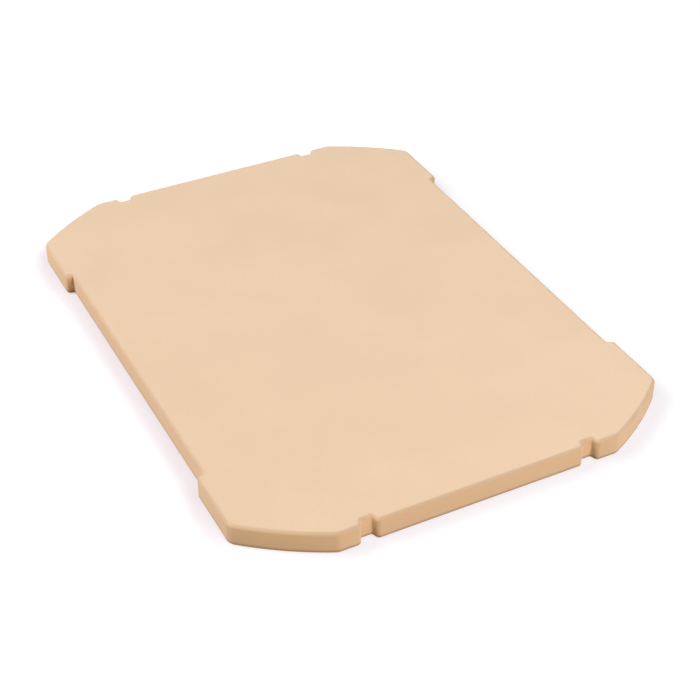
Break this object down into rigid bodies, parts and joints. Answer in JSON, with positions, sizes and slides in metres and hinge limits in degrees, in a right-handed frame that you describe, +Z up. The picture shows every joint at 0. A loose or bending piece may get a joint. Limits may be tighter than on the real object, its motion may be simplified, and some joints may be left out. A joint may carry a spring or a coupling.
{
  "type": "pizza stone",
  "caption": "Flat rectangular baking slab of fired ceramic with bowed corner cuts, set-back long sides, shallow notches in the short sides, a rolled rim and a flat underside.",
  "frame": {"origin": "centre of the underside, on the surface that the stone lies on", "axes": "+X along the long sides, +Y along the short sides, +Z up out of the baking surface"},
  "size_m": [0.4826, 0.3568, 0.0191],
  "materials": {
    "cordierite": "matt, as fired, unglazed"
  },
  "bodies": {
    "root": {"pizza_stone": "cordierite"}
  },
  "joints": []
}
